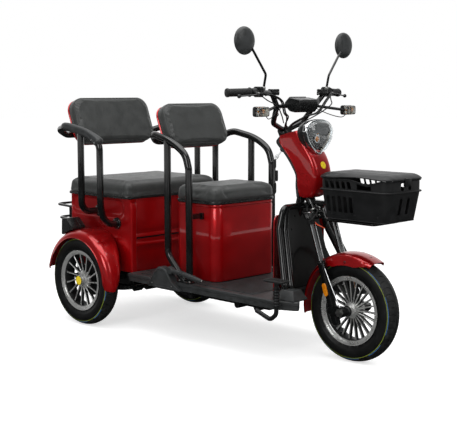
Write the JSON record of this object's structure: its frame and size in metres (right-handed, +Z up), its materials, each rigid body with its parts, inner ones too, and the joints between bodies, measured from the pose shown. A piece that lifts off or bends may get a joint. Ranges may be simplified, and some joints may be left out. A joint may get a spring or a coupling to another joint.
{
  "type": "electric tricycle",
  "caption": "Battery tricycle with a rider's seat and a rear bench seat, a flat foot deck, a raked steering fork, a lidded front basket and a rear rack.",
  "frame": {"origin": "on the floor below the middle of the overall box", "axes": "+X forward, +Y to the driver's left, +Z up"},
  "size_m": [1.96, 0.796, 1.3179],
  "materials": {
    "red_paint": "gloss",
    "black_paint": "gloss",
    "leatherette": "satin",
    "black_plastic": "matte",
    "grey_plastic": "matte",
    "tyre_rubber": "matte",
    "rubber": "matte",
    "cast_rim": "polished",
    "steel": "zinc plated",
    "lens": "clear"
  },
  "bodies": {
    "chassis": {"main_frame": "black_paint", "floor_deck": "grey_plastic", "rear_springs": "black_paint", "rear_axle": "black_paint", "front_seat_box": "red_paint", "battery_pack": "black_plastic", "front_backrest_pad": "leatherette", "front_backrest_shell": "red_paint", "rear_backrest_pad": "leatherette", "rear_backrest_shell": "red_paint", "front_seat_frame": "black_paint", "rear_body": "red_paint", "rear_fender_right": "red_paint", "rear_fender_left": "red_paint", "tail_lights": "grey_plastic", "rear_seat_frame": "black_paint", "armrest_sleeves": "grey_plastic", "rear_rack": "black_paint", "rear_box": "black_plastic", "handbrake_console": "grey_plastic", "handbrake_lever": "grey_plastic", "brake_pedal": "black_plastic", "leg_guard": "black_paint", "leg_shield": "black_plastic", "front_apron": "red_paint", "front_cowl": "red_paint", "cowl_rear_cover": "black_plastic", "ignition_key": "steel", "headlight_bucket": "black_plastic", "headlight_lens": "lens", "basket": "black_plastic", "basket_support": "black_paint"},
    "steering": {"front_fork": "black_paint", "front_axle": "steel", "front_fender": "red_paint", "handlebar": "black_paint", "handlebar_grips": "rubber", "brake_levers": "black_paint", "control_boxes": "black_plastic", "dash_display": "black_plastic", "mirror_right": "black_plastic", "mirror_left": "black_plastic", "turn_signals": "black_plastic", "control_cables": "rubber"},
    "front_wheel": {"front_tyre": "tyre_rubber", "front_rim": "cast_rim"},
    "rear_wheel_right": {"rear_tyre_right": "tyre_rubber", "rear_rim_right": "cast_rim"},
    "rear_wheel_left": {"rear_tyre_left": "tyre_rubber", "rear_rim_left": "cast_rim"},
    "front_seat": {"front_seat_cushion": "leatherette"},
    "rear_seat": {"rear_seat_cushion": "leatherette"},
    "basket_cover": {"basket_lid": "black_plastic"}
  },
  "joints": [
    {"name": "steering", "type": "hinge", "parent": "chassis", "child": "steering", "pos_m": [0.46997, 0, 0.7], "axis": [-0.4695, 0, 0.8829], "range_deg": [-35, 35]},
    {"name": "front_wheel_spin", "type": "hinge", "parent": "steering", "child": "front_wheel", "pos_m": [0.7375, 0, 0.2075], "axis": [0, 1, 0], "continuous": true},
    {"name": "rear_wheel_right_spin", "type": "hinge", "parent": "chassis", "child": "rear_wheel_right", "pos_m": [-0.5525, -0.341, 0.2075], "axis": [0, 1, 0], "continuous": true},
    {"name": "rear_wheel_left_spin", "type": "hinge", "parent": "chassis", "child": "rear_wheel_left", "pos_m": [-0.5525, 0.341, 0.2075], "axis": [0, 1, 0], "continuous": true},
    {"name": "front_seat_hinge", "type": "hinge", "parent": "chassis", "child": "front_seat", "pos_m": [0.1535, 0, 0.592], "axis": [0, 1, 0], "range_deg": [0, 70]},
    {"name": "rear_seat_hinge", "type": "hinge", "parent": "chassis", "child": "rear_seat", "pos_m": [-0.761, 0, 0.589], "axis": [0, -1, 0], "range_deg": [0, 38]},
    {"name": "basket_lid_hinge", "type": "hinge", "parent": "chassis", "child": "basket_cover", "pos_m": [0.634, 0, 0.7378], "axis": [0, -1, 0], "range_deg": [0, 70]}
  ]
}
